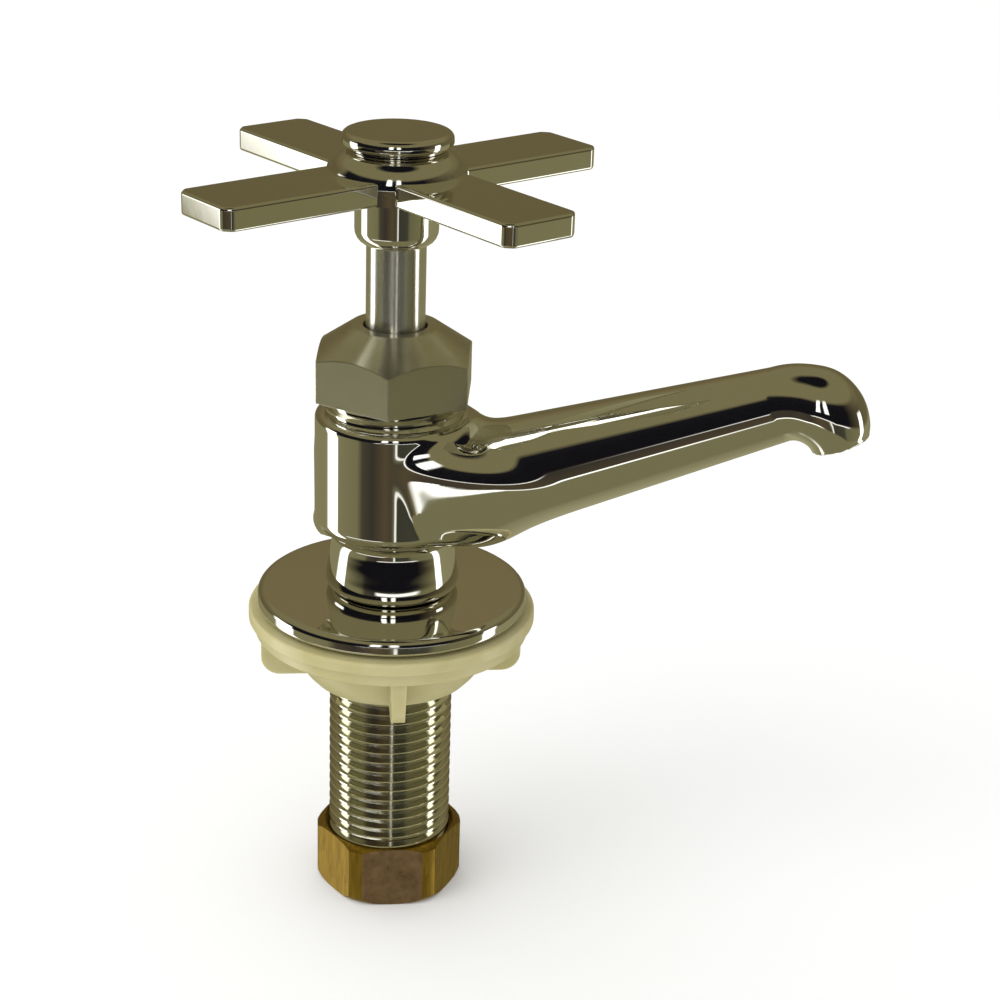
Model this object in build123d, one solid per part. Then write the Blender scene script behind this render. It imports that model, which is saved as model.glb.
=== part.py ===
from math import cos, pi, radians, sin, tan
import os

from build123d import *

os.makedirs("parts", exist_ok=True)

# A single hole pillar tap with a cross handle on a rising screwed spindle.
# Origin: tap axis at the deck plane. +Z runs up the spindle, +X along the spout. Millimetres.

# Clearances
screw_gap = 0.06        # radial gap at every screwed joint
turned_gap = 0.07       # radial gap of a shaft turning in its bush
seat_gap = 0.05         # gap between stacked pieces that press on each other
loose_gap = 0.3         # radial gap round a piece that is free to slide

# Threaded shank, half inch pipe thread
shank_d = 20.86
shank_pitch = 1.814
shank_thread_depth = 1.0
shank_crest_width = 0.5
shank_root_width = 0.35
shank_bore_d = 13.2
shank_length = 47.2
shank_spigot_d = 17.2
shank_spigot_length = 11.2
shank_mouth_chamfer = 2.2
shank_end_chamfer = 0.6

# Base flange and the rubber ring let into its underside
flange_d = 45.2
flange_thickness = 3.2
flange_crown = 0.1      # rise of the top from the rim in to the neck
flange_edge_radius = 1.1
flange_rim_lift = 0.8   # the rim's bottom edge stands clear of the deck
flange_rim_bevel = 1.4
gasket_inner_d = 26.0
gasket_outer_d = 37.0
gasket_thickness = 1.6

# Body: neck, barrel and screwed collar
neck_foot_d = 18.8
neck_bell_d = 22.2
neck_waist_d = 20.2
neck_bell_height = 1.6
neck_height = 10.6
barrel_d = 25.9
barrel_height = 20.5
barrel_bottom_radius = 2.7
barrel_top_radius = 1.3
collar_step = 1.6       # ledge from the barrel's wall in to the collar
collar_height = 6.5
collar_pitch = 1.5
collar_thread_depth = 0.45
collar_crest_width = 0.45
collar_root_width = 0.25
collar_wall = 2.75
chamber_floor_rise = 3.5

# Spout, measured in its own upright plane
spout_axis_height = 17.8
spout_slope_deg = 22.7
spout_root_inset = 3.55     # barrel's side in to the spout's side at its root
spout_end_d = 11.7
spout_root_reach = 16.0
spout_end_reach = 63.0
spout_nose_depth = 2.6
spout_nose_d = [11.9, 12.2, 11.4, 9.9, 9.0]
spout_nose_deg = [90.0, 70.0, 50.0, 31.0, 22.0]
spout_blend_radius = 3.0
waterway_root_d = 9.2
waterway_end_d = 6.8
waterway_root_height = 22.6
outlet_drilling = 3.0
outlet_lip_radius = 0.4

# Valve seat, screwed into the chamber floor
seat_d = 14.4
seat_length = 4.0
seat_flange_gap = 0.7
seat_flange_thickness = 0.5
seat_crown_d = 12.0
seat_crown_height = 0.9
seat_bore_d = 9.6
seat_hex_af = 8.9
seat_hex_depth = 2.4

# Washer, its carrier and its screw
washer_thickness = 2.7
washer_hole_d = 4.2
carrier_gap = 1.4       # water space round the carrier
carrier_rim = 0.6
carrier_thickness = 1.7
carrier_skirt = 1.2
carrier_pin_d = 5.0
carrier_pin_length = 7.0
washer_screw_d = 3.6
washer_screw_head_d = 7.0
washer_screw_head = 1.5
washer_screw_length = 7.9
screw_slot_width = 0.9
screw_slot_depth = 0.9
carrier_pin_cap = 1.0   # solid end of the pin over its tapped hole

# Spindle and the screwed bush that it rises in
stem_d = 9.6
stem_nose_d = 12.4
stem_nose_length = 2.0
stem_thread_d = 14.0
stem_thread_length = 8.5
stem_lead = 2.54
stem_turns = 2.0
stem_stop_gap = 0.4
stem_square = 6.8
stem_square_length = 8.4
bush_flange_inset = 0.35
bush_flange_thickness = 1.4
bush_floor_gap = 0.6

# Bonnet nut with its gasket and packing
bonnet_corner_step = 2.65   # from the collar's thread out to a corner
bonnet_hex_rise = 3.0
bonnet_hex_height = 6.9
bonnet_cone_height = 4.7
bonnet_top_d = 14.4
bonnet_hole_d = 10.4
bonnet_turn_deg = -74.3
bonnet_wall = 2.0
bonnet_gasket_thickness = 0.8
packing_d = 14.8
packing_washer_thickness = 0.8

# Cross handle, turned hub and four arms
handle_gap = 13.3       # visible spindle between the bonnet nut and the handle
handle_collar_d = 13.4
handle_collar_radius = 2.6
handle_collar_height = 8.7
handle_recess_depth = 1.7
handle_hub_d = 22.4
handle_turn_deg = -33.3
arm_count = 4
arm_reach = 36.0
arm_width = 13.7
arm_thickness = 3.7
arm_corner_chamfer = 1.3
arm_edge_chamfer = 0.45
boss_top_d = 15.2
boss_height = 3.1
boss_web = 2.4
boss_cavity_d = 12.6

# Handle screw and cap button
handle_screw_d = 4.0
handle_screw_length = 9.5
handle_screw_head_d = 7.4
handle_screw_head = 1.7
cap_d = 17.7
cap_thickness = 2.2
cap_step_d = 15.6
cap_step_height = 0.5
cap_edge_radius = 1.0
cap_spigot_length = 1.6
cap_spigot_wall = 1.0

# Locknut under the deck and its washer
locknut_washer_d = 48.4
locknut_washer_thickness = 2.0
locknut_d = 46.8
locknut_disc_thickness = 2.5
locknut_disc_taper = 0.5
locknut_hub_top_d = 34.6
locknut_hub_bottom_d = 27.0
locknut_hub_height = 8.1
locknut_hub_bulge = 0.9
locknut_edge_radius = 0.9
wing_count = 4
wing_reach = 22.0
wing_root_thickness = 2.7
wing_end_thickness = 2.2
wing_corner_radius = 3.2
wing_bury = 1.0         # depth of a wing's root in the disc and the hub
wing_turn_deg = -66.5

# Coupling nut for the supply tail, with its cone washer and friction ring
coupling_af = 22.9
coupling_d = 25.0
coupling_cover = 5.7    # length of shank inside the nut
coupling_lip = 1.95
coupling_top_chamfer = 0.75
coupling_bottom_chamfer = 0.5
coupling_rim = 0.25     # flat rim round the thread's mouth
coupling_turn_deg = -66.6
tail_d = 12.7
tail_gap = 0.2
cone_washer_d = 19.6
cone_washer_height = 2.4
cone_washer_nose = 0.8  # flat end of the cone round the tail
cone_washer_gap = 0.5
friction_ring_height = 0.7

# Diameters that follow from the barrel
collar_d = barrel_d - 2 * collar_step
chamber_d = collar_d - 2 * collar_wall
spout_root_d = barrel_d - 2 * spout_root_inset
bush_flange_d = collar_d - 2 * bush_flange_inset
bonnet_corner_d = collar_d + 2 * bonnet_corner_step
carrier_d = chamber_d - 2 * carrier_gap
washer_d = carrier_d - 2 * carrier_rim
seat_flange_d = chamber_d - 2 * seat_flange_gap

# Levels, worked out upwards from the deck plane
neck_foot_z = flange_thickness + flange_crown
barrel_bottom_z = neck_foot_z + neck_height
barrel_top_z = barrel_bottom_z + barrel_height
collar_top_z = barrel_top_z + collar_height
chamber_floor_z = barrel_bottom_z + chamber_floor_rise
seat_top_z = chamber_floor_z + seat_gap + seat_flange_thickness + seat_crown_height
washer_z = seat_top_z + seat_gap
carrier_z = washer_z + washer_thickness + seat_gap
carrier_top_z = carrier_z + carrier_thickness
stem_bottom_z = carrier_top_z + seat_gap
stem_thread_z = stem_bottom_z + stem_nose_length
stem_thread_top_z = stem_thread_z + stem_thread_length
stem_lift = stem_lead * stem_turns
bush_bottom_z = carrier_top_z + stem_lift + bush_floor_gap
bush_shoulder_z = stem_thread_top_z + stem_lift + stem_stop_gap
gasket_z = collar_top_z + seat_gap
bush_flange_z = gasket_z + bonnet_gasket_thickness + seat_gap
bush_top_z = bush_flange_z + bush_flange_thickness
bonnet_bottom_z = barrel_top_z + bonnet_hex_rise
bonnet_cone_z = bonnet_bottom_z + bonnet_hex_height
bonnet_top_z = bonnet_cone_z + bonnet_cone_height
handle_bottom_z = bonnet_top_z + handle_gap
arm_bottom_z = handle_bottom_z + handle_collar_height
arm_top_z = arm_bottom_z + arm_thickness
boss_top_z = arm_top_z + boss_height
stem_shoulder_z = handle_bottom_z + handle_recess_depth - seat_gap
stem_top_z = stem_shoulder_z + stem_square_length
web_bottom_z = stem_top_z + loose_gap
web_top_z = web_bottom_z + boss_web
cap_step_z = boss_top_z + seat_gap
cap_bottom_z = cap_step_z + cap_step_height
cap_top_z = cap_bottom_z + cap_thickness

# Levels, worked out downwards from the deck plane
shank_shoulder_z = -seat_gap
shank_end_z = shank_shoulder_z - shank_length
locknut_washer_z = -2 * seat_gap
locknut_top_z = locknut_washer_z - locknut_washer_thickness - seat_gap
locknut_disc_z = locknut_top_z - locknut_disc_thickness
locknut_bottom_z = locknut_disc_z - locknut_hub_height
coupling_top_z = shank_end_z + coupling_cover
cone_washer_z = shank_end_z - seat_gap - cone_washer_height
friction_ring_z = cone_washer_z - seat_gap - friction_ring_height
coupling_floor_z = friction_ring_z - seat_gap
coupling_bottom_z = coupling_floor_z - coupling_lip

# Fits shared by mating pieces
flange_hole_d = shank_spigot_d + 2 * screw_gap
shank_nut_bore_d = shank_d + 2 * screw_gap
bonnet_thread_bore_d = collar_d + 2 * screw_gap
stem_bore_d = stem_d + 2 * turned_gap
tail_hole_d = tail_d + 2 * tail_gap
spigot_socket_depth = shank_spigot_length - neck_foot_z - seat_gap + loose_gap


def turned(points):
    """A solid of revolution about the tap axis from an outline of (radius, height) points."""
    outline = Polyline(*[(r, 0, z) for r, z in points], close=True)
    return revolve(make_face(outline), Axis.Z)


def ring(inner_d, outer_d, bottom_z, top_z):
    """A plain ring or disc between two levels."""
    return turned([
        (inner_d / 2, bottom_z),
        (outer_d / 2, bottom_z),
        (outer_d / 2, top_z),
        (inner_d / 2, top_z),
    ])


def rim_edges(solid, diameter, level):
    """The round edges of a turned solid at one diameter and level."""
    found = []
    for edge in solid.edges().filter_by(GeomType.CIRCLE):
        same_level = abs(edge.center(CenterOf.BOUNDING_BOX).Z - level) < 0.001
        if same_level and abs(edge.radius - diameter / 2) < 0.001:
            found.append(edge)
    return found


def hexagon(across_flats, bottom_z, top_z, turn_deg):
    """A hexagonal prism on the tap axis, with one corner turned to the given angle."""
    sketch = RegularPolygon(across_flats / 2, 6, major_radius=False, rotation=turn_deg)
    return Pos(0, 0, bottom_z) * extrude(sketch, top_z - bottom_z)


def slot_cutter(head_d, top_z):
    """The cutter for a screwdriver slot across a screw's head, with its top at the given level."""
    return Pos(0, 0, top_z - screw_slot_depth / 2) * Box(2 * head_d, screw_slot_width, screw_slot_depth)


def spout_point(reach, height):
    return Vector(reach, 0, height)


def spout_section(centre, direction_deg, diameter):
    """A circle square to a direction in the spout's plane, measured up from +X."""
    direction = Vector(cos(radians(direction_deg)), 0, sin(radians(direction_deg)))
    plane = Plane(origin=centre, x_dir=(0, 1, 0), z_dir=direction)
    return plane * Circle(diameter / 2)


def spout_axis_point(reach):
    return spout_point(reach, spout_axis_height + reach * tan(radians(spout_slope_deg)))


def nose_pivot():
    """The point that the nose curls round, under the end of the straight part."""
    end = spout_axis_point(spout_end_reach)
    drop = spout_end_d / 2 + spout_nose_depth
    slope = radians(spout_slope_deg)
    return spout_point(end.X + drop * sin(slope), end.Z - drop * cos(slope))


def nose_centre(angle_deg, diameter):
    """The centre of a nose section that lies at an angle round the pivot."""
    distance = spout_nose_depth + diameter / 2
    pivot = nose_pivot()
    angle = radians(angle_deg)
    return spout_point(pivot.X + distance * cos(angle), pivot.Z + distance * sin(angle))


def spout_diameter(reach):
    """The outer diameter of the straight, evenly tapered part."""
    share = (reach - spout_root_reach) / (spout_end_reach - spout_root_reach)
    return spout_root_d + share * (spout_end_d - spout_root_d)


def spout_outside():
    """The tapered tube of the spout and its nose, which curls down to the outlet."""
    root_reach = barrel_d / 4
    root = spout_section(spout_axis_point(root_reach), spout_slope_deg, spout_diameter(root_reach))
    end = spout_section(spout_axis_point(spout_end_reach), spout_slope_deg, spout_end_d)
    nose = [end]
    for angle, diameter in zip(spout_nose_deg, spout_nose_d):
        nose.append(spout_section(nose_centre(angle, diameter), angle - 90, diameter))
    spout = loft([root, end], ruled=True) + loft(nose)
    mouth = spout.faces().filter_by(GeomType.PLANE).sort_by(Axis.X)[-1]
    spout = fillet(mouth.edges(), outlet_lip_radius)
    return spout - ring(0, 2 * spout_end_reach, 0, barrel_bottom_z)


def outlet_plane():
    """The mouth of the spout: its origin at the mouth's centre, its Z pointing out of it."""
    angle = spout_nose_deg[-1]
    centre = nose_centre(angle, spout_nose_d[-1])
    direction = Vector(sin(radians(angle)), 0, -cos(radians(angle)))
    return Plane(origin=centre, x_dir=(0, 1, 0), z_dir=direction)


def spout_waterway():
    """The bore of the spout, from the chamber into the nose, and the drilling that meets it there."""
    start = spout_point(chamber_d / 4, waterway_root_height)
    root = spout_section(start, spout_slope_deg, waterway_root_d)
    end = spout_section(spout_axis_point(spout_end_reach), spout_slope_deg, waterway_end_d)
    nose = [end]
    for angle, diameter in zip(spout_nose_deg[:2], spout_nose_d[:2]):
        nose.append(spout_section(nose_centre(angle, diameter), angle - 90, waterway_end_d))
    mouth = outlet_plane()
    nose.append(mouth * Pos(0, 0, -outlet_drilling) * Circle(waterway_end_d / 2))
    drilling = mouth * Cylinder(waterway_end_d / 2, 2 * outlet_drilling)
    return loft([root, end], ruled=True) + loft(nose) + drilling


def thread_outline(diameter, pitch, depth, crest_width, root_width, bottom_z, top_z):
    """The (radius, height) points up a screwed surface, with one groove to each pitch."""
    flank = (pitch - crest_width - root_width) / 2
    crest_r = diameter / 2
    root_r = crest_r - depth
    points = [(crest_r, bottom_z)]
    for turn in range(int((top_z - bottom_z) / pitch)):
        level = bottom_z + turn * pitch + crest_width
        points.append((crest_r, level))
        points.append((root_r, level + flank))
        points.append((root_r, level + flank + root_width))
        points.append((crest_r, level + 2 * flank + root_width))
    points.append((crest_r, top_z))
    return points


def body_outside():
    """The neck, barrel and screwed collar as one turned solid."""
    foot = (neck_foot_d / 2, 0, neck_foot_z)
    bell = (neck_bell_d / 2, 0, neck_foot_z + neck_bell_height)
    waist = (neck_waist_d / 2, 0, barrel_bottom_z)
    waist_low = (neck_waist_d / 2 + 0.15, 0, (bell[2] + waist[2]) / 2 + 0.6)
    line = Line((0, 0, neck_foot_z), foot)
    line += TangentArc(foot, bell, tangent=(1, 0, -0.1))
    line += ThreePointArc(bell, waist_low, waist)
    rest = [(neck_waist_d / 2, barrel_bottom_z)]
    rest += [(barrel_d / 2, barrel_bottom_z), (barrel_d / 2, barrel_top_z)]
    rest += thread_outline(
        collar_d, collar_pitch, collar_thread_depth, collar_crest_width, collar_root_width,
        barrel_top_z, collar_top_z)
    rest += [(0, collar_top_z), (0, neck_foot_z)]
    line += Polyline(*[(r, 0, z) for r, z in rest])
    solid = revolve(make_face(line), Axis.Z)
    ledge = (barrel_d - neck_waist_d) / 2
    solid = fillet(rim_edges(solid, barrel_d, barrel_bottom_z), min(barrel_bottom_radius, ledge * 0.96))
    return fillet(rim_edges(solid, barrel_d, barrel_top_z), barrel_top_radius)


def body_inside():
    """The socket for the shank, the seat's thread and the valve chamber."""
    socket_top = neck_foot_z + spigot_socket_depth
    seat_bottom = chamber_floor_z - seat_length - seat_gap
    socket = ring(0, flange_hole_d, neck_foot_z - 1, socket_top)
    waterway = ring(0, shank_bore_d, socket_top - 1, seat_bottom + 0.01)
    seat_thread = ring(0, seat_d + 2 * screw_gap, seat_bottom, chamber_floor_z + 0.01)
    chamber = ring(0, chamber_d, chamber_floor_z, collar_top_z + 1)
    return socket + waterway + seat_thread + chamber


def body_casting():
    """The chromed casting: barrel and spout blended together, then bored out."""
    joined = body_outside() + spout_outside()
    seam = []
    for edge in joined.edges().filter_by(GeomType.BSPLINE):
        middle = edge @ 0.5
        off_barrel = abs((middle.X ** 2 + middle.Y ** 2) ** 0.5 - barrel_d / 2)
        if off_barrel < 0.05:
            seam.append(edge)
    blended = fillet(seam, spout_blend_radius)
    return blended - body_inside() - spout_waterway()


def base_flange():
    """The chromed deck flange: crowned top, rolled edge, recess for the rubber ring below."""
    disc = turned([
        (flange_hole_d / 2, 0),
        (flange_d / 2 - flange_rim_bevel, 0),
        (flange_d / 2, flange_rim_lift),
        (flange_d / 2, flange_thickness),
        (flange_d / 2 - 2 * flange_edge_radius, flange_thickness),
        (neck_bell_d / 2, neck_foot_z),
        (flange_hole_d / 2, neck_foot_z - seat_gap),
    ])
    disc = fillet(rim_edges(disc, flange_d, flange_thickness), flange_edge_radius)
    foot = ring(0, neck_bell_d + 2 * seat_gap, neck_foot_z - seat_gap, flange_thickness + 1)
    recess = ring(gasket_inner_d, gasket_outer_d, -1, gasket_thickness)
    return disc - foot - recess


def deck_gasket():
    """The rubber ring that seals the flange to the deck, flush with the flange's underside."""
    inner_d = gasket_inner_d + 2 * seat_gap
    outer_d = gasket_outer_d - 2 * seat_gap
    return ring(inner_d, outer_d, 0, gasket_thickness - seat_gap)


def threaded_shank():
    """The tail: a screwed tube with a spigot that is fixed in the body's socket."""
    thread = thread_outline(
        shank_d, shank_pitch, shank_thread_depth, shank_crest_width, shank_root_width,
        shank_end_z + shank_end_chamfer, shank_shoulder_z)
    return turned([
        (shank_bore_d / 2, shank_end_z + shank_mouth_chamfer),
        (shank_bore_d / 2 + shank_mouth_chamfer, shank_end_z),
        (shank_d / 2 - shank_end_chamfer, shank_end_z),
        *thread,
        (shank_spigot_d / 2, shank_shoulder_z),
        (shank_spigot_d / 2, shank_shoulder_z + shank_spigot_length),
        (shank_bore_d / 2, shank_shoulder_z + shank_spigot_length),
    ])


def valve_seat():
    """The renewable brass seat: raised crown above, hexagon for its key below."""
    bottom_z = chamber_floor_z - seat_length
    flange_z = chamber_floor_z + seat_gap
    outside = turned([
        (0, bottom_z),
        (seat_d / 2, bottom_z),
        (seat_d / 2, flange_z),
        (seat_flange_d / 2, flange_z),
        (seat_flange_d / 2, flange_z + seat_flange_thickness),
        (seat_crown_d / 2, flange_z + seat_flange_thickness),
        (seat_crown_d / 2 - seat_crown_height / 2, seat_top_z),
        (0, seat_top_z),
    ])
    key_top_z = bottom_z + seat_hex_depth
    bore = ring(0, seat_bore_d, key_top_z, seat_top_z + 1)
    return outside - bore - hexagon(seat_hex_af, bottom_z - 1, key_top_z, 0)


def seat_washer():
    """The rubber washer that closes on the seat."""
    return ring(washer_hole_d, washer_d, washer_z, washer_z + washer_thickness)


def washer_carrier():
    """The plate with a skirt round the washer and a pin up into the spindle."""
    hole_r = washer_screw_d / 2 + screw_gap
    inner_r = washer_d / 2 + seat_gap
    pin_top_z = carrier_top_z + carrier_pin_length
    return turned([
        (hole_r, carrier_z),
        (inner_r, carrier_z),
        (inner_r, carrier_z - carrier_skirt),
        (carrier_d / 2, carrier_z - carrier_skirt),
        (carrier_d / 2, carrier_top_z),
        (carrier_pin_d / 2, carrier_top_z),
        (carrier_pin_d / 2, pin_top_z),
        (0, pin_top_z),
        (0, pin_top_z - carrier_pin_cap),
        (hole_r, pin_top_z - carrier_pin_cap),
    ])


def washer_screw():
    """The slotted brass screw that holds the washer to its carrier."""
    head_top_z = washer_z - seat_gap
    head_z = head_top_z - washer_screw_head
    tip_z = head_top_z + washer_screw_length
    screw = turned([
        (0, head_z),
        (washer_screw_head_d / 2, head_z),
        (washer_screw_head_d / 2, head_top_z),
        (washer_screw_d / 2, head_top_z),
        (washer_screw_d / 2, tip_z),
        (0, tip_z),
    ])
    return screw - slot_cutter(washer_screw_head_d, head_z + screw_slot_depth)


def square_bar(width, bottom_z, top_z):
    """A square bar on the tap axis, its sides turned with the handle's arms."""
    bar = Box(width, width, top_z - bottom_z)
    return Rot(0, 0, handle_turn_deg) * Pos(0, 0, (bottom_z + top_z) / 2) * bar


def spindle():
    """The rising spindle: nose, screwed part, polished rod and a square for the handle."""
    pin_hole_d = carrier_pin_d + 2 * turned_gap
    rod = turned([
        (0, stem_bottom_z),
        (stem_nose_d / 2, stem_bottom_z),
        (stem_nose_d / 2, stem_thread_z),
        (stem_thread_d / 2, stem_thread_z),
        (stem_thread_d / 2, stem_thread_top_z),
        (stem_d / 2, stem_thread_top_z),
        (stem_d / 2, stem_shoulder_z),
        (0, stem_shoulder_z),
    ])
    square = square_bar(stem_square, stem_shoulder_z, stem_top_z)
    pin_hole = ring(0, pin_hole_d, stem_bottom_z - 1, carrier_top_z + carrier_pin_length + loose_gap)
    screw_hole_z = web_top_z - handle_screw_length - loose_gap
    screw_hole = ring(0, handle_screw_d + 2 * screw_gap, screw_hole_z, stem_top_z + 1)
    return rod + square - pin_hole - screw_hole


def spindle_bush():
    """The screwed brass bush that the spindle rises in, held down by the bonnet nut."""
    return turned([
        (stem_thread_d / 2 + turned_gap, bush_bottom_z),
        (chamber_d / 2 - turned_gap, bush_bottom_z),
        (chamber_d / 2 - turned_gap, bush_flange_z),
        (bush_flange_d / 2, bush_flange_z),
        (bush_flange_d / 2, bush_top_z),
        (stem_bore_d / 2, bush_top_z),
        (stem_bore_d / 2, bush_shoulder_z),
        (stem_thread_d / 2 + turned_gap, bush_shoulder_z),
    ])


def bonnet_gasket():
    """The fibre ring between the collar and the bush."""
    return ring(chamber_d, bush_flange_d, gasket_z, gasket_z + bonnet_gasket_thickness)


def packing_washer():
    """The brass washer under the packing."""
    bottom_z = bush_top_z + seat_gap
    return ring(stem_bore_d, packing_d - 2 * turned_gap, bottom_z, bottom_z + packing_washer_thickness)


def packing_ring():
    """The packing that seals the spindle's rod inside the bonnet nut."""
    bottom_z = bush_top_z + packing_washer_thickness + 2 * seat_gap
    top_z = bonnet_top_z - bonnet_wall - seat_gap
    return ring(stem_bore_d, packing_d - 2 * turned_gap, bottom_z, top_z)


def bonnet_nut():
    """The bonnet nut: a hexagon under a turned cone, screwed down over the collar."""
    corner_r = bonnet_corner_d / 2
    blank = hexagon(bonnet_corner_d * cos(pi / 6), bonnet_bottom_z, bonnet_top_z, bonnet_turn_deg)
    cone = turned([
        (0, bonnet_bottom_z),
        (corner_r, bonnet_bottom_z),
        (corner_r, bonnet_cone_z),
        (bonnet_top_d / 2, bonnet_top_z),
        (0, bonnet_top_z),
    ])
    shoulder_z = bush_top_z + seat_gap
    thread = ring(0, bonnet_thread_bore_d, bonnet_bottom_z - 1, shoulder_z)
    packing = ring(0, packing_d, shoulder_z - 0.5, bonnet_top_z - bonnet_wall)
    hole = ring(0, bonnet_hole_d, bonnet_bottom_z, bonnet_top_z + 1)
    return (blank & cone) - thread - packing - hole


def handle_arm():
    """One flat arm along +X, with clipped corners and bevelled edges."""
    arm = Box(arm_reach, arm_width, arm_thickness, align=(Align.MIN, Align.CENTER, Align.MIN))
    arm = Pos(0, 0, arm_bottom_z) * arm
    corners = arm.edges().filter_by(Axis.Z).sort_by(Axis.X)[-2:]
    arm = chamfer(corners, arm_corner_chamfer)
    top = arm.faces().sort_by(Axis.Z)[-1]
    return chamfer(top.edges().sort_by(Axis.X)[1:], arm_edge_chamfer)


def cross_handle():
    """The chromed cross handle: collar, hub, raised boss and four arms."""
    hub = turned([
        (0, handle_bottom_z),
        (handle_collar_d / 2, handle_bottom_z),
        (handle_collar_d / 2, arm_bottom_z),
        (handle_hub_d / 2, arm_bottom_z),
        (handle_hub_d / 2, arm_top_z),
        (boss_top_d / 2, boss_top_z),
        (0, boss_top_z),
    ])
    hub = fillet(rim_edges(hub, handle_collar_d, handle_bottom_z), handle_collar_radius)
    for index in range(arm_count):
        hub += Rot(0, 0, handle_turn_deg + index * 360 / arm_count) * handle_arm()
    square = square_bar(stem_square + 2 * screw_gap, handle_bottom_z, web_bottom_z)
    recess = ring(0, stem_d + 2 * turned_gap, handle_bottom_z - 1, handle_bottom_z + handle_recess_depth)
    screw_hole = ring(0, handle_screw_d + 2 * turned_gap, web_bottom_z - 1, web_top_z + 1)
    cavity = ring(0, boss_cavity_d, web_top_z, boss_top_z + 1)
    return hub - square - recess - screw_hole - cavity


def handle_screw():
    """The slotted screw that holds the handle down on the spindle."""
    head_z = web_top_z + seat_gap
    head_top_z = head_z + handle_screw_head
    screw = turned([
        (0, head_z - handle_screw_length),
        (handle_screw_d / 2, head_z - handle_screw_length),
        (handle_screw_d / 2, head_z),
        (handle_screw_head_d / 2, head_z),
        (handle_screw_head_d / 2, head_top_z),
        (0, head_top_z),
    ])
    return screw - slot_cutter(handle_screw_head_d, head_top_z)


def cap_button():
    """The plain chromed button that closes the boss over the screw."""
    spigot_d = boss_cavity_d - 2 * screw_gap
    button = turned([
        (0, cap_step_z),
        (cap_step_d / 2, cap_step_z),
        (cap_step_d / 2, cap_bottom_z),
        (cap_d / 2, cap_bottom_z),
        (cap_d / 2, cap_top_z),
        (0, cap_top_z),
    ])
    button = fillet(rim_edges(button, cap_d, cap_top_z), cap_edge_radius)
    spigot_z = cap_step_z - cap_spigot_length
    spigot = ring(spigot_d - 2 * cap_spigot_wall, spigot_d, spigot_z, cap_bottom_z)
    return button + spigot


def locknut_washer():
    """The loose nylon washer between the deck and the locknut."""
    hole_d = shank_d + 2 * loose_gap
    bottom_z = locknut_washer_z - locknut_washer_thickness
    washer = ring(hole_d, locknut_washer_d, bottom_z, locknut_washer_z)
    return fillet(rim_edges(washer, locknut_washer_d, bottom_z), locknut_edge_radius)


def locknut_wing():
    """One thin radial wing along +X, thinner at its free edge."""
    inner = locknut_hub_bottom_d / 2 - wing_bury
    middle = (inner + wing_reach) / 2
    root = Pos(middle, 0, locknut_disc_z + wing_bury) * Rectangle(wing_reach - inner, wing_root_thickness)
    end = Pos(middle, 0, locknut_bottom_z) * Rectangle(wing_reach - inner, wing_end_thickness)
    wing = loft([root, end], ruled=True)
    corner = wing.edges().filter_by(Axis.Y).group_by(Axis.Z)[0].sort_by(Axis.X)[-1]
    return fillet(corner, wing_corner_radius)


def locknut():
    """The nylon locknut: a wide disc, a bowl-shaped hub and four wings to turn it by."""
    disc_r = locknut_d / 2
    hub_low_r = locknut_hub_bottom_d / 2
    hub_top_r = locknut_hub_top_d / 2
    middle_z = (locknut_disc_z + locknut_bottom_z) / 2
    bulge_r = (hub_low_r + hub_top_r) / 2 + locknut_hub_bulge
    line = Polyline(
        (0, 0, locknut_top_z),
        (disc_r, 0, locknut_top_z),
        (disc_r - locknut_disc_taper, 0, locknut_disc_z),
        (hub_top_r, 0, locknut_disc_z),
    )
    line += ThreePointArc(
        (hub_top_r, 0, locknut_disc_z), (bulge_r, 0, middle_z), (hub_low_r, 0, locknut_bottom_z))
    line += Polyline((hub_low_r, 0, locknut_bottom_z), (0, 0, locknut_bottom_z), (0, 0, locknut_top_z))
    nut = revolve(make_face(line), Axis.Z)
    for index in range(wing_count):
        nut += Rot(0, 0, wing_turn_deg + index * 360 / wing_count) * locknut_wing()
    return nut - ring(0, shank_nut_bore_d, locknut_bottom_z - 1, locknut_top_z + 1)


def coupling_nut():
    """The brass coupling nut: hexagon with turned corners, lipped over the supply tail."""
    blank = hexagon(coupling_af, coupling_bottom_z, coupling_top_z, coupling_turn_deg + 30)
    outer_r = coupling_d / 2
    rim_r = shank_nut_bore_d / 2 + coupling_rim
    outline = turned([
        (0, coupling_bottom_z),
        (outer_r - coupling_bottom_chamfer, coupling_bottom_z),
        (outer_r, coupling_bottom_z + coupling_bottom_chamfer),
        (outer_r, coupling_top_z - coupling_top_chamfer),
        (rim_r, coupling_top_z),
        (0, coupling_top_z),
    ])
    bore = ring(0, shank_nut_bore_d, coupling_floor_z, coupling_top_z + 1)
    tail_hole = ring(0, tail_hole_d, coupling_bottom_z - 1, coupling_floor_z + 1)
    return (blank & outline) - bore - tail_hole


def cone_washer():
    """The rubber cone washer that the coupling nut presses into the shank's mouth."""
    outer_r = cone_washer_d / 2
    shoulder_z = shank_end_z - seat_gap
    nose_r = tail_hole_d / 2 + cone_washer_nose
    nose_rise = shank_bore_d / 2 + shank_mouth_chamfer - nose_r - cone_washer_gap
    return turned([
        (tail_hole_d / 2, cone_washer_z),
        (outer_r, cone_washer_z),
        (outer_r, shoulder_z),
        (nose_r + nose_rise, shoulder_z),
        (nose_r, shoulder_z + nose_rise),
        (tail_hole_d / 2, shoulder_z + nose_rise),
    ])


def friction_ring():
    """The hard ring that lets the coupling nut turn against the cone washer."""
    return ring(tail_hole_d, cone_washer_d, friction_ring_z, friction_ring_z + friction_ring_height)


def export(node, shape):
    """Writes one piece to its own file."""
    solids = shape.solids()
    target = solids[0] if len(solids) == 1 else Compound(children=list(solids))
    export_step(target, f"parts/{node}.step")


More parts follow.
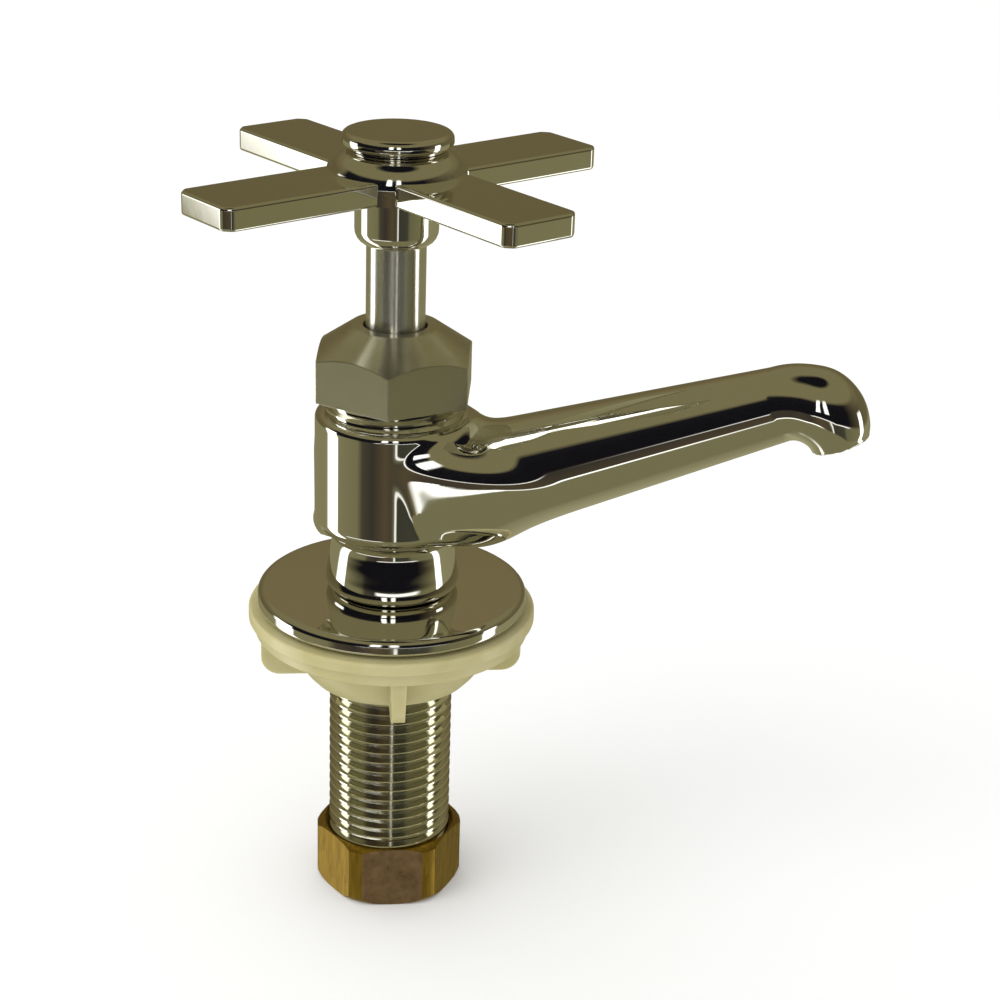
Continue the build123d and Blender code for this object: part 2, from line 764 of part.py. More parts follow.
pieces = [
    body_casting,
    base_flange,
    deck_gasket,
    threaded_shank,
    valve_seat,
    seat_washer,
    washer_carrier,
    washer_screw,
    spindle,
    spindle_bush,
    bonnet_gasket,
    packing_washer,
    packing_ring,
    bonnet_nut,
    cross_handle,
    handle_screw,
    cap_button,
    locknut_washer,
    locknut,
    coupling_nut,
    cone_washer,
    friction_ring,
]
for piece in pieces:
    export(piece.__name__, piece())
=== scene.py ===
from math import cos, pi, radians, sin

import bmesh
import bpy
import numpy as np
from mathutils import Matrix, Vector


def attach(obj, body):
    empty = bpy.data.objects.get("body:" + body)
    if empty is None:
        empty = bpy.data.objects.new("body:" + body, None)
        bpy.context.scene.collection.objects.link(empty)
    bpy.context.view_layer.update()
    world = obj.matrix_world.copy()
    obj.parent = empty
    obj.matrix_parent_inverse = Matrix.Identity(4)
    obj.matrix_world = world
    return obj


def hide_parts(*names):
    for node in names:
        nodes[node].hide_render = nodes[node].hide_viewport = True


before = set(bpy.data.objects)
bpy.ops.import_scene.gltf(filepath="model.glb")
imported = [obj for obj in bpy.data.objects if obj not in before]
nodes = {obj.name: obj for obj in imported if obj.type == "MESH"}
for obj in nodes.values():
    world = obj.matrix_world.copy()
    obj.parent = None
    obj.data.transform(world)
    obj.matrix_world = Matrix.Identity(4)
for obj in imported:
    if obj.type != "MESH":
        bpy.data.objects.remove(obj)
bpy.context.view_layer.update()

# A single hole pillar tap with a cross handle, dressed over its CAD frame.
# Lengths in the dictionaries are millimetres, and heights are above the deck plane.
mm = 0.001


def deselectAll():
    if bpy.context.object and bpy.context.object.mode != "OBJECT":
        bpy.ops.object.mode_set(mode="OBJECT")
    bpy.ops.object.select_all(action="DESELECT")


def editMode(piece, kind="VERT"):
    deselectAll()
    bpy.context.view_layer.objects.active = piece
    piece.select_set(True)
    bpy.ops.object.mode_set(mode="EDIT")
    bpy.ops.mesh.select_mode(type=kind)


def pickVerts(piece, test):
    # select the vertices whose place in mm passes the test, and what lies between them
    mesh = bmesh.from_edit_mesh(piece.data)
    for part in (mesh.verts, mesh.edges, mesh.faces):
        for item in part:
            item.select = False
    for vert in mesh.verts:
        vert.select = test(vert.co / mm)
    mesh.select_flush(True)
    bmesh.update_edit_mesh(piece.data)


def pickEdges(piece, test):
    mesh = bmesh.from_edit_mesh(piece.data)
    for part in (mesh.verts, mesh.edges, mesh.faces):
        for item in part:
            item.select = False
    for edge in mesh.edges:
        if test(edge.verts[0].co / mm, edge.verts[1].co / mm, edge):
            edge.select_set(True)
    bmesh.update_edit_mesh(piece.data)


def onRing(co, radius, height, slack=0.004):
    return abs(co.z - height) < slack and abs(co.xy.length - radius) < slack


def applyModifier(piece, kind, **settings):
    deselectAll()
    bpy.context.view_layer.objects.active = piece
    piece.select_set(True)
    modifier = piece.modifiers.new(kind.lower(), kind)
    for setting, value in settings.items():
        setattr(modifier, setting, value)
    bpy.ops.object.modifier_apply(modifier=modifier.name)


def carve(piece, tool, operation):
    # boolean with a tool piece that is used up
    applyModifier(piece, "BOOLEAN", object=tool, operation=operation, solver="EXACT")
    bpy.data.objects.remove(tool)


def smoothPiece(piece, angle=30, weighted=True):
    deselectAll()
    bpy.context.view_layer.objects.active = piece
    piece.select_set(True)
    bpy.ops.object.shade_smooth_by_angle(angle=radians(angle), keep_sharp_edges=False)
    if weighted:
        applyModifier(piece, "WEIGHTED_NORMAL", keep_sharp=True, weight=60)


def readPlaces(piece):
    # every vertex's place in mm
    places = np.empty(len(piece.data.vertices) * 3)
    piece.data.vertices.foreach_get("co", places)
    return places.reshape(-1, 3) / mm


def facesOut(piece, merge=0.002):
    editMode(piece)
    bpy.ops.mesh.select_all(action="SELECT")
    bpy.ops.mesh.remove_doubles(threshold=merge * mm)
    bpy.ops.mesh.normals_make_consistent(inside=False)
    bpy.ops.object.mode_set(mode="OBJECT")


def turnPiece(name, rings, steps=160, ends="ring"):
    # a circle drawn out ring by ring: (radius, height, rounding), then closed and rounded
    deselectAll()
    radius, height = rings[0][:2]
    bpy.ops.mesh.primitive_circle_add(vertices=steps, radius=radius * mm)
    piece = bpy.context.object
    piece.name = name
    piece.data.name = name
    editMode(piece, "EDGE")
    bpy.ops.mesh.select_all(action="SELECT")
    bpy.ops.transform.translate(value=(0, 0, height * mm))
    if ends == "solid":
        bpy.ops.mesh.edge_face_add()
        pickVerts(piece, lambda co: True)
    for ring in rings[1:]:
        bpy.ops.mesh.select_mode(type="EDGE")
        step = (0, 0, (ring[1] - height) * mm)
        bpy.ops.mesh.extrude_edges_move(TRANSFORM_OT_translate={"value": step})
        growth = ring[0] / radius
        bpy.ops.transform.resize(value=(growth, growth, 1), center_override=(0, 0, 0))
        radius, height = ring[:2]
    if ends == "solid":
        bpy.ops.mesh.edge_face_add()
    if ends == "ring":
        first = rings[0]
        last = rings[-1]
        pickEdges(piece, lambda a, b, edge: edge.is_boundary and (
            onRing(a, first[0], first[1]) and onRing(b, first[0], first[1])
            or onRing(a, last[0], last[1]) and onRing(b, last[0], last[1])))
        bpy.ops.mesh.bridge_edge_loops()
    for ring in rings:
        if len(ring) > 2 and ring[2]:
            pickEdges(piece, lambda a, b, edge:
                      onRing(a, ring[0], ring[1]) and onRing(b, ring[0], ring[1]))
            bpy.ops.mesh.bevel(offset=ring[2] * mm, segments=6, profile=0.5, affect="EDGES")
    bpy.ops.object.mode_set(mode="OBJECT")
    if ends != "open":
        facesOut(piece)
    return piece


def hexPiece(name, cornerRadius, bottom, top, cornerAngle):
    deselectAll()
    bpy.ops.mesh.primitive_cylinder_add(
        vertices=6, radius=cornerRadius * mm, depth=(top - bottom) * mm,
        location=(0, 0, (top + bottom) / 2 * mm), rotation=(0, 0, radians(cornerAngle - 90)))
    piece = bpy.context.object
    piece.name = name
    piece.data.name = name
    bpy.ops.object.transform_apply(location=True, rotation=True, scale=True)
    return piece


def barPiece(name, length, width, bottom, top, angle, inner=0.0):
    # a straight bar along +X from inner, then turned about the tap axis
    deselectAll()
    middle = ((inner + length) / 2 * mm, 0, (bottom + top) / 2 * mm)
    bpy.ops.mesh.primitive_cube_add(size=1, location=middle)
    piece = bpy.context.object
    piece.name = name
    piece.data.name = name
    piece.scale = ((length - inner) * mm, width * mm, (top - bottom) * mm)
    bpy.ops.object.transform_apply(location=True, rotation=True, scale=True)
    piece.rotation_euler = (0, 0, radians(angle))
    return piece


def placed(piece):
    deselectAll()
    bpy.context.view_layer.objects.active = piece
    piece.select_set(True)
    bpy.ops.object.transform_apply(location=True, rotation=True, scale=True)


def turnedCopy(piece, angle):
    # a copy with its own mesh, turned on about the tap axis and fixed there
    copy = piece.copy()
    copy.data = piece.data.copy()
    bpy.context.scene.collection.objects.link(copy)
    copy.rotation_euler.z += radians(angle)
    placed(copy)
    return copy


def drawnLine(name, points):
    # one vertex drawn on from point to point in the XZ plane
    deselectAll()
    bpy.ops.mesh.primitive_plane_add(size=mm)
    piece = bpy.context.object
    piece.name = name
    piece.data.name = name
    editMode(piece)
    bpy.ops.mesh.select_all(action="SELECT")
    bpy.ops.mesh.merge(type="CENTER")
    bpy.ops.transform.translate(value=(points[0][0] * mm, 0, points[0][1] * mm))
    for before, after in zip(points, points[1:]):
        step = ((after[0] - before[0]) * mm, 0, (after[1] - before[1]) * mm)
        bpy.ops.mesh.extrude_vertices_move(TRANSFORM_OT_translate={"value": step})
    bpy.ops.object.mode_set(mode="OBJECT")
    return piece


def cutFlat(piece, height, keepAbove):
    # bisect at a level and drop one side
    editMode(piece)
    bpy.ops.mesh.select_all(action="SELECT")
    bpy.ops.mesh.bisect(
        plane_co=(0, 0, height * mm), plane_no=(0, 0, 1),
        clear_inner=keepAbove, clear_outer=not keepAbove)
    bpy.ops.object.mode_set(mode="OBJECT")


def smoothPoints(points, count):
    # a smooth run of points through a few, for soft turned outlines
    through = [np.array(p) for p in points]
    through = [2 * through[0] - through[1]] + through + [2 * through[-1] - through[-2]]
    run = []
    for index in range(1, len(through) - 2):
        a, b, c, d = through[index - 1:index + 3]
        for part in range(count):
            t = part / count
            run.append(0.5 * (2 * b + (c - a) * t + (2 * a - 5 * b + 4 * c - d) * t * t
                              + (3 * b - a - 3 * c + d) * t ** 3))
    run.append(through[-2])
    return [tuple(p) for p in run]


def dress(piece, body, slot, material, *replaced):
    piece.data.materials.clear()
    piece.data.materials.append(material)
    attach(piece, body)
    if replaced:
        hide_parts(*replaced)


def linear(hexColour):
    # sRGB hex to linear
    values = [int(hexColour[i:i + 2], 16) / 255 for i in (1, 3, 5)]
    return tuple(v / 12.92 if v <= 0.04045 else ((v + 0.055) / 1.055) ** 2.4 for v in values) + (1.0,)


def addNode(tree, kind, values={}, links={}, stops=(), **settings):
    node = tree.nodes.new(kind)
    for setting, value in settings.items():
        setattr(node, setting, value)
    if stops:
        elements = node.color_ramp.elements
        elements[0].position, elements[0].color = stops[0]
        elements[1].position, elements[1].color = stops[-1]
        for position, colour in stops[1:-1]:
            elements.new(position).color = colour
    for socket, value in values.items():
        node.inputs[socket].default_value = value
    for socket, source in links.items():
        tree.links.new(source, node.inputs[socket])
    return node


def newMaterial(name):
    material = bpy.data.materials.new(name)
    material.use_nodes = True
    return material, material.node_tree, material.node_tree.nodes["Principled BSDF"]


def grey(value):
    return (value, value, value, 1.0)


def polishedChrome(name, tint, low, high, wave, waveSize):
    # bright chrome plate: mirror sharp, with the soft waviness of hand polished metal under it
    material, tree, shader = newMaterial(name)
    place = addNode(tree, "ShaderNodeTexCoord").outputs["Object"]
    smear = addNode(tree, "ShaderNodeTexNoise", {"Scale": 1 / (3.0 * mm), "Detail": 4.0}, {"Vector": place})
    gloss = addNode(tree, "ShaderNodeMapRange", {
        "From Min": 0.35, "From Max": 0.75, "To Min": low, "To Max": high}, {"Value": smear.outputs["Fac"]})
    ripple = addNode(tree, "ShaderNodeTexNoise", {"Scale": 1 / (waveSize * mm), "Detail": 1.0},
                     {"Vector": place})
    bump = addNode(tree, "ShaderNodeBump", {"Strength": 1.0, "Distance": wave * mm},
                   {"Height": ripple.outputs["Fac"]})
    shader.inputs["Base Color"].default_value = linear(tint)
    shader.inputs["Metallic"].default_value = 1.0
    tree.links.new(gloss.outputs["Result"], shader.inputs["Roughness"])
    tree.links.new(bump.outputs["Normal"], shader.inputs["Normal"])
    return material


def turnedMetal(name, tint, dark, rough, marks, anisotropy, pitch, chatter=0.0):
    # metal left from the lathe: fine rings round the axis that draw each highlight out across them
    material, tree, shader = newMaterial(name)
    place = addNode(tree, "ShaderNodeTexCoord").outputs["Object"]
    stretched = addNode(tree, "ShaderNodeMapping", {"Scale": (1.0, 1.0, 40.0)}, {"Vector": place})
    rings = addNode(tree, "ShaderNodeTexNoise", {"Scale": 1 / (pitch * 40 * mm), "Detail": 3.0},
                    {"Vector": stretched.outputs["Vector"]})
    shade = addNode(tree, "ShaderNodeValToRGB", {}, {"Fac": rings.outputs["Fac"]},
                    [(0.3, linear(dark)), (0.62, linear(tint))])
    bump = addNode(tree, "ShaderNodeBump", {"Strength": 1.0, "Distance": marks * mm},
                   {"Height": rings.outputs["Fac"]})
    if chatter:
        # fine chatter marks, drawn at 0.3 mm so that they show
        grit = addNode(tree, "ShaderNodeTexNoise", {"Scale": 1 / (0.3 * mm), "Detail": 2.0}, {"Vector": place})
        bump = addNode(tree, "ShaderNodeBump", {"Strength": 1.0, "Distance": chatter * mm}, {
            "Height": grit.outputs["Fac"], "Normal": bump.outputs["Normal"]})
    tangent = addNode(tree, "ShaderNodeTangent", direction_type="RADIAL", axis="Z")
    shader.inputs["Metallic"].default_value = 1.0
    shader.inputs["Roughness"].default_value = rough
    shader.inputs["Anisotropic"].default_value = anisotropy
    shader.inputs["Anisotropic Rotation"].default_value = 0.25
    tree.links.new(shade.outputs["Color"], shader.inputs["Base Color"])
    tree.links.new(tangent.outputs["Tangent"], shader.inputs["Tangent"])
    tree.links.new(bump.outputs["Normal"], shader.inputs["Normal"])
    return material


def moulded(name, colour, shadow, rough, grain, grainSize, through=0.0):
    # moulded plastic or rubber: soft sheen, faint flow marks, a fine skin
    material, tree, shader = newMaterial(name)
    place = addNode(tree, "ShaderNodeTexCoord").outputs["Object"]
    flow = addNode(tree, "ShaderNodeTexNoise", {"Scale": 1 / (9.0 * mm), "Detail": 3.0, "Distortion": 0.6},
                   {"Vector": place})
    shade = addNode(tree, "ShaderNodeValToRGB", {}, {"Fac": flow.outputs["Fac"]},
                    [(0.32, linear(shadow)), (0.66, linear(colour))])
    skin = addNode(tree, "ShaderNodeTexNoise", {"Scale": 1 / (grainSize * mm), "Detail": 2.0},
                   {"Vector": place})
    bump = addNode(tree, "ShaderNodeBump", {"Strength": 1.0, "Distance": grain * mm},
                   {"Height": skin.outputs["Fac"]})
    tree.links.new(shade.outputs["Color"], shader.inputs["Base Color"])
    tree.links.new(bump.outputs["Normal"], shader.inputs["Normal"])
    shader.inputs["Roughness"].default_value = rough
    if through:
        shader.inputs["Subsurface Weight"].default_value = through
        shader.inputs["Subsurface Radius"].default_value = (1.0, 0.85, 0.5)
        shader.inputs["Subsurface Scale"].default_value = 2.5 * mm
    return material


def rawBrass(name, flatAngle, flatDistance):
    # drawn hexagon bar faced on a lathe: golden all over, with painted shade on the flat that faces the camera, which
    # is painted brown and made less metallic
    material, tree, shader = newMaterial(name)
    place = addNode(tree, "ShaderNodeTexCoord").outputs["Object"]
    draw = addNode(tree, "ShaderNodeMapping", {"Scale": (1.0, 1.0, 0.12)}, {"Vector": place})
    lines = addNode(tree, "ShaderNodeTexNoise", {"Scale": 1 / (0.5 * mm), "Detail": 4.0},
                    {"Vector": draw.outputs["Vector"]})
    patch = addNode(tree, "ShaderNodeTexNoise", {"Scale": 1 / (2.2 * mm), "Detail": 5.0, "Roughness": 0.65},
                    {"Vector": place})
    golden = addNode(tree, "ShaderNodeValToRGB", {}, {"Fac": lines.outputs["Fac"]},
                    [(0.3, linear("#84681f")), (0.7, linear("#a6862f"))])
    shadeBrown = addNode(tree, "ShaderNodeValToRGB", {}, {"Fac": patch.outputs["Fac"]},
                    [(0.3, linear("#6f5539")), (0.7, linear("#927852"))])
    # painted shade: the flat that faces the camera is masked by distance along its normal, then painted brown and
    # made less metallic
    turn = radians(flatAngle)
    depth = addNode(tree, "ShaderNodeVectorMath", {1: (cos(turn), sin(turn), 0)}, {0: place},
                    operation="DOT_PRODUCT")
    where = addNode(tree, "ShaderNodeMapRange", {
        "From Min": (flatDistance - 0.12) * mm, "From Max": (flatDistance - 0.02) * mm},
        {"Value": depth.outputs["Value"]})
    mixed = addNode(tree, "ShaderNodeMix", {}, {
        "Factor": where.outputs["Result"], "A": golden.outputs["Color"], "B": shadeBrown.outputs["Color"]},
        data_type="RGBA")
    gloss = addNode(tree, "ShaderNodeMapRange", {
        "From Min": 0.3, "From Max": 0.7, "To Min": 0.26, "To Max": 0.4}, {"Value": patch.outputs["Fac"]})
    bump = addNode(tree, "ShaderNodeBump", {"Strength": 1.0, "Distance": 0.008 * mm},
                   {"Height": lines.outputs["Fac"]})
    solidity = addNode(tree, "ShaderNodeMapRange", {"To Min": 0.9, "To Max": 0.6}, {"Value": where.outputs["Result"]})
    tree.links.new(solidity.outputs["Result"], shader.inputs["Metallic"])
    tree.links.new(mixed.outputs["Result"], shader.inputs["Base Color"])
    tree.links.new(gloss.outputs["Result"], shader.inputs["Roughness"])
    tree.links.new(bump.outputs["Normal"], shader.inputs["Normal"])
    return material


print("materials")
castingChrome = polishedChrome("Chrome plate on polished brass casting", "#ebeae4", 0.02, 0.05, 0.006, 6.0)
flangeChrome = polishedChrome("Chrome plate on pressed brass flange", "#ebeae4", 0.03, 0.06, 0.004, 7.0)
handleChrome = polishedChrome("Chrome plate on zinc die casting", "#e9e8e1", 0.03, 0.06, 0.003, 2.4)
capChrome = polishedChrome("Chrome plate on moulded button", "#e9e7e0", 0.04, 0.09, 0.004, 4.0)
threadChrome = polishedChrome("Chrome plate over cut thread", "#dcdacb", 0.07, 0.13, 0.005, 0.6)
stemChrome = turnedMetal("Chrome plate on turned spindle", "#ebeae4", "#e0dfd5", 0.24, 0.002, 0.93, 0.10, 0.006)
bonnetTurned = turnedMetal("Chrome plate over lathe marks", "#e4e2d4", "#dcdacb", 0.25, 0.0008, 0.8, 0.16)
turnedBrass = turnedMetal("Turned brass", "#d3ad5c", "#a88337", 0.24, 0.008, 0.5, 0.18)
zincPlate = turnedMetal("Zinc plated steel screw", "#c9cbcb", "#a6a9aa", 0.3, 0.004, 0.3, 0.12)
brassBar = rawBrass("Drawn brass bar with painted shade on its front flat", -66.6, 11.45)
ivoryNylon = moulded("Natural nylon moulding", "#c3bb8e", "#b8b07c", 0.36, 0.006, 0.5, 0.25)
whiteNylon = moulded("White nylon moulding", "#e4e4de", "#d6d6cf", 0.4, 0.004, 0.5, 0.1)
blackRubber = moulded("Black nitrile rubber", "#262625", "#1c1c1b", 0.62, 0.010, 0.3)
redFibre = moulded("Red vulcanised fibre", "#7a2f22", "#5f2219", 0.6, 0.015, 0.35)
packing = moulded("Graphite packing cord", "#4a4a4b", "#333334", 0.5, 0.03, 0.45)


print("body casting")
body = {
    "barrelRadius": 12.95, "bottom": 13.9, "top": 34.4, "bottomRounding": 2.7, "topRounding": 1.2,
    "axisHeight": 17.8, "slope": 22.7, "rootReach": 16.0, "endReach": 63.0, "rootWidth": 18.8, "endWidth": 11.7,
    "noseDepth": 2.6, "noseAngles": [130.0, 112.7, 90.0, 70.0, 50.0, 31.0, 22.0, 4.0],
    "noseWidths": [11.6, 11.7, 11.9, 12.2, 11.4, 9.9, 9.0, 7.6],
    "mouthAngle": 22.0, "mouthFrom": 58.0, "lip": 0.4, "boreRadius": 3.4, "boreRounding": 0.3, "boreDepth": 3.0,
    "boreRoot": (6.0, 0, 24.4), "boreRootRadius": 4.6, "rootInset": 6.0, "flatBlend": 4.5,
    "blendLow": 32.0, "blendTop": 8.0, "blendFrom": 27.0, "grid": 0.42,
}
slope = radians(body["slope"])
alongSpout = Vector((cos(slope), 0, sin(slope)))
acrossSpout = Vector((-sin(slope), 0, cos(slope)))
spoutStart = Vector((0, 0, body["axisHeight"]))
spoutEnd = spoutStart + alongSpout * (body["endReach"] / cos(slope))
nosePivot = spoutEnd - acrossSpout * (body["endWidth"] / 2 + body["noseDepth"])


def spoutWidth(reach):
    share = (reach - body["rootReach"]) / (body["endReach"] - body["rootReach"])
    return body["rootWidth"] + share * (body["endWidth"] - body["rootWidth"])


noseTable = np.array(smoothPoints(list(zip(body["noseAngles"], body["noseWidths"])), 30))[::-1]


def noseWidth(angles):
    # nose width at each angle, on a smooth line through the measured sections
    return np.interp(angles, noseTable[:, 0], noseTable[:, 1])


def smoothMin(a, b, size):
    share = np.maximum(size - np.abs(a - b), 0) / size
    return np.minimum(a, b) - share ** 3 * size / 6


def bodySurface(points):
    # distance of each point (mm) from the casting's skin: barrel and spout melted into each other
    x, y, z = points.T
    round = np.maximum(np.hypot(x, y), 1e-6)
    middle = (body["top"] + body["bottom"]) / 2
    rounding = np.where(z > middle, body["topRounding"], body["bottomRounding"])
    outR = round - body["barrelRadius"] + rounding
    outZ = np.abs(z - middle) - (body["top"] - body["bottom"]) / 2 + rounding
    overR = np.maximum(outR, 0)
    overZ = np.maximum(outZ, 0)
    barrel = np.hypot(overR, overZ) + np.minimum(np.maximum(outR, outZ), 0) - rounding
    along = x * alongSpout.x + (z - spoutStart.z) * alongSpout.z
    off = x * acrossSpout.x + (z - spoutStart.z) * acrossSpout.z
    half = spoutWidth(along * cos(slope)) / 2
    # under its root the spout is flattened so that it doesn't hang below the barrel
    depth = (spoutStart.z - body["bottom"] + along * sin(slope)) / cos(slope)
    off = np.where(off < 0, off * half / np.maximum(smoothMin(half, depth, body["flatBlend"]), 1.0), off)
    spoutRound = np.maximum(np.hypot(off, y), 1e-6)
    straight = np.maximum(spoutRound - half, -x)
    fromPivotX = x - nosePivot.x
    fromPivotZ = z - nosePivot.z
    angle = np.degrees(np.arctan2(fromPivotZ, fromPivotX))
    width = noseWidth(np.clip(angle, 4, 112.7))
    nose = np.hypot(np.hypot(fromPivotX, fromPivotZ) - body["noseDepth"] - width / 2, y) - width / 2
    end = spoutEnd.x * alongSpout.x + (spoutEnd.z - spoutStart.z) * alongSpout.z
    spout = np.where(along > end, nose, straight)
    # the blend is wide where the two skins turn away from each other and none where they run together
    corner = np.maximum(np.hypot(overR, overZ), 1e-6)
    facing = np.sign(z - middle) * (overZ / corner) ** 2 * cos(slope) * off
    alike = np.clip((overR / corner * (y * y - x * sin(slope) * off) / round + facing) / spoutRound, 0, 1)
    alike = alike * alike * (3 - 2 * alike)
    high = np.clip((z - body["blendFrom"]) / (body["top"] - body["blendFrom"]), 0, 1)
    high = high * high * (3 - 2 * high)
    size = body["blendLow"] + high * (body["blendTop"] - body["blendLow"])
    return smoothMin(barrel, spout, size * (1 - alike) + 0.2)


def surfaceNormals(points):
    step = 0.01
    slopes = np.stack([
        bodySurface(points + np.eye(3)[axis] * step) - bodySurface(points - np.eye(3)[axis] * step)
        for axis in range(3)], axis=1) / (2 * step)
    return slopes


def settleOn(piece, rounds):
    # let the grid relax, then pull each vertex back onto the blended skin
    for turn in range(rounds):
        editMode(piece)
        bpy.ops.mesh.select_all(action="SELECT")
        bpy.ops.mesh.vertices_smooth(factor=0.5, repeat=2)
        bpy.ops.object.mode_set(mode="OBJECT")
        places = readPlaces(piece)
        for pull in range(6):
            slopes = surfaceNormals(places)
            distance = bodySurface(places)
            places -= slopes * (distance / np.maximum((slopes ** 2).sum(1), 0.25))[:, None]
        piece.data.vertices.foreach_set("co", (places * mm).ravel())
        piece.data.update()


casting = turnPiece("bodyCasting", [
    (body["barrelRadius"] - 1.5, body["bottom"], 0), (body["barrelRadius"], body["bottom"] + 1.5, 0),
    (body["barrelRadius"], body["top"] - 0.8, 0), (body["barrelRadius"] - 0.8, body["top"], 0)], 96, "solid")


def ringPath(piece, centre, direction, radius, stations):
    # extrude the selected ring through stations of (centre, direction angle, radius) in the spout's plane
    for place, angle, size in stations:
        bpy.ops.mesh.extrude_edges_move(TRANSFORM_OT_translate={
            "value": ((place.x - centre.x) * mm, 0, (place.z - centre.z) * mm)})
        pivot = (place.x * mm, 0, place.z * mm)
        bpy.ops.transform.resize(value=(size / radius,) * 3, center_override=pivot)
        turnRing(piece, place, angle - direction)
        centre, direction, radius = place, angle, size


def turnRing(piece, centre, angle):
    # turn the selected vertices about the spout plane's normal, by an angle measured up from +X
    mesh = bmesh.from_edit_mesh(piece.data)
    chosen = [vert for vert in mesh.verts if vert.select]
    bmesh.ops.rotate(mesh, cent=centre * mm, matrix=Matrix.Rotation(-radians(angle), 3, "Y"), verts=chosen)
    bmesh.update_edit_mesh(piece.data)


def noseCentre(angle, width):
    distance = body["noseDepth"] + width / 2
    return nosePivot + Vector((cos(radians(angle)), 0, sin(radians(angle)))) * distance


deselectAll()
start = spoutStart + alongSpout * body["rootInset"]
startRadius = spoutWidth(body["rootInset"]) / 2
bpy.ops.mesh.primitive_circle_add(vertices=64, radius=startRadius * mm, fill_type="NGON")
spoutTube = bpy.context.object
editMode(spoutTube, "EDGE")
bpy.ops.mesh.select_all(action="SELECT")
turnRing(spoutTube, Vector((0, 0, 0)), body["slope"] - 90)
bpy.ops.transform.translate(value=start * mm)
stations = [(spoutEnd, body["slope"], body["endWidth"] / 2)]
for angle in range(104, 6, -8):
    width = float(noseWidth(angle))
    stations.append((noseCentre(angle, width), angle - 90, width / 2))
ringPath(spoutTube, start, body["slope"], startRadius, stations)
bpy.ops.mesh.edge_face_add()
bpy.ops.object.mode_set(mode="OBJECT")
facesOut(spoutTube)
carve(casting, spoutTube, "UNION")
applyModifier(casting, "REMESH", mode="VOXEL", voxel_size=body["grid"] * mm, adaptivity=0.0)
settleOn(casting, 4)

# the mouth: cut the nose off square, roll the lip, and draw the bore back up the spout
mouthWay = Vector((sin(radians(body["mouthAngle"])), 0, -cos(radians(body["mouthAngle"]))))
mouthCentre = noseCentre(body["mouthAngle"], float(noseWidth(body["mouthAngle"])))
cutCentre = mouthCentre - mouthWay * body["lip"]
editMode(casting)
pickVerts(casting, lambda co: co.x > body["mouthFrom"])
bpy.ops.mesh.bisect(plane_co=cutCentre * mm, plane_no=mouthWay, clear_outer=True, clear_inner=False)
bpy.ops.mesh.select_mode(type="EDGE")
mesh = bmesh.from_edit_mesh(casting.data)
for edge in mesh.edges:
    edge.select_set(edge.is_boundary)
edgeSpread = [(vert.co / mm - cutCentre).length for vert in mesh.verts if vert.is_boundary]
mouthRadius = sum(edgeSpread) / len(edgeSpread)
bmesh.update_edit_mesh(casting.data)
lip = body["lip"]
bore = body["boreRadius"]
inEdge = body["boreRounding"]
facing = body["mouthAngle"] - 90
lipStations = []
for part in range(1, 6):
    turn = radians(part * 18)
    place = cutCentre + mouthWay * lip * sin(turn)
    lipStations.append((place, facing, mouthRadius - lip * (1 - cos(turn))))
for part in range(0, 5):
    turn = radians(part * 22.5)
    place = mouthCentre - mouthWay * inEdge * (1 - cos(turn))
    lipStations.append((place, facing, bore + inEdge * (1 - sin(turn))))
lipStations.append((mouthCentre - mouthWay * body["boreDepth"], facing, bore))
for angle in range(34, 113, 11):
    width = float(noseWidth(angle))
    lipStations.append((noseCentre(angle, width), angle - 90, bore))
lipStations.append((spoutEnd, body["slope"], bore))
lipStations.append((Vector(body["boreRoot"]), body["slope"], body["boreRootRadius"]))
ringPath(casting, cutCentre, facing, mouthRadius, lipStations)
bpy.ops.mesh.edge_face_add()
bpy.ops.object.mode_set(mode="OBJECT")

# neck with its bell foot, then the screwed collar
neckSizes = {
    "bore": 7.2, "bottom": 3.3, "inBarrel": 16.0, "outline": [
        (9.4, 3.3), (10.2, 3.6), (10.85, 4.2), (11.1, 5.1), (11.0, 6.3), (10.78, 7.7), (10.54, 9.2),
        (10.28, 10.7), (10.1, 11.9), (10.15, 12.8), (10.5, 13.5), (11.2, 13.95)],
}
neckLine = smoothPoints(neckSizes["outline"], 5)
neck = turnPiece("neck", [(neckSizes["bore"], neckSizes["bottom"], 0)] + [(r, z, 0) for r, z in neckLine] + [
    (neckLine[-1][0], neckSizes["inBarrel"], 0), (neckSizes["bore"], neckSizes["inBarrel"], 0)], 160)
carve(casting, neck, "UNION")

collar = {
    "radius": 11.35, "depth": 0.45, "pitch": 1.5, "crest": 0.45, "root": 0.25, "soft": 0.08, "bottom": 34.2,
    "top": 40.9,
}


def threadSurface(name, size, steps=96):
    # one pitch of thread turned up a right hand helix past both levels
    radius, depth, pitch, crest, root, soft, bottom, top = [size[word] for word in (
        "radius", "depth", "pitch", "crest", "root", "soft", "bottom", "top")]
    flank = (pitch - crest - root) / 2
    low = bottom - 2 * pitch
    line = drawnLine(name, [
        (radius - soft, low), (radius, low + soft), (radius, low + crest - soft), (radius - soft, low + crest),
        (radius - depth + soft, low + crest + flank), (radius - depth, low + crest + flank + soft),
        (radius - depth, low + crest + flank + root - soft), (radius - depth + soft, low + crest + flank + root),
        (radius - soft, low + pitch)])
    turns = int((top - bottom) / pitch) + 4
    applyModifier(line, "SCREW", axis="Z", angle=2 * pi, screw_offset=pitch * mm, iterations=turns,
                  steps=steps, render_steps=steps, use_merge_vertices=True, merge_threshold=0.001 * mm)
    facesOut(line, 0.01)
    cutFlat(line, bottom, True)
    cutFlat(line, top, False)
    return line


def pickOpenEnd(piece, level):
    pickEdges(piece, lambda a, b, edge:
              edge.is_boundary and abs(a.z - level) < 0.01 and abs(b.z - level) < 0.01)


collarThread = threadSurface("collarThread", collar)
editMode(collarThread, "EDGE")
for level in (collar["bottom"], collar["top"]):
    pickOpenEnd(collarThread, level)
    bpy.ops.mesh.edge_face_add()
bpy.ops.object.mode_set(mode="OBJECT")
facesOut(collarThread)
carve(casting, collarThread, "UNION")
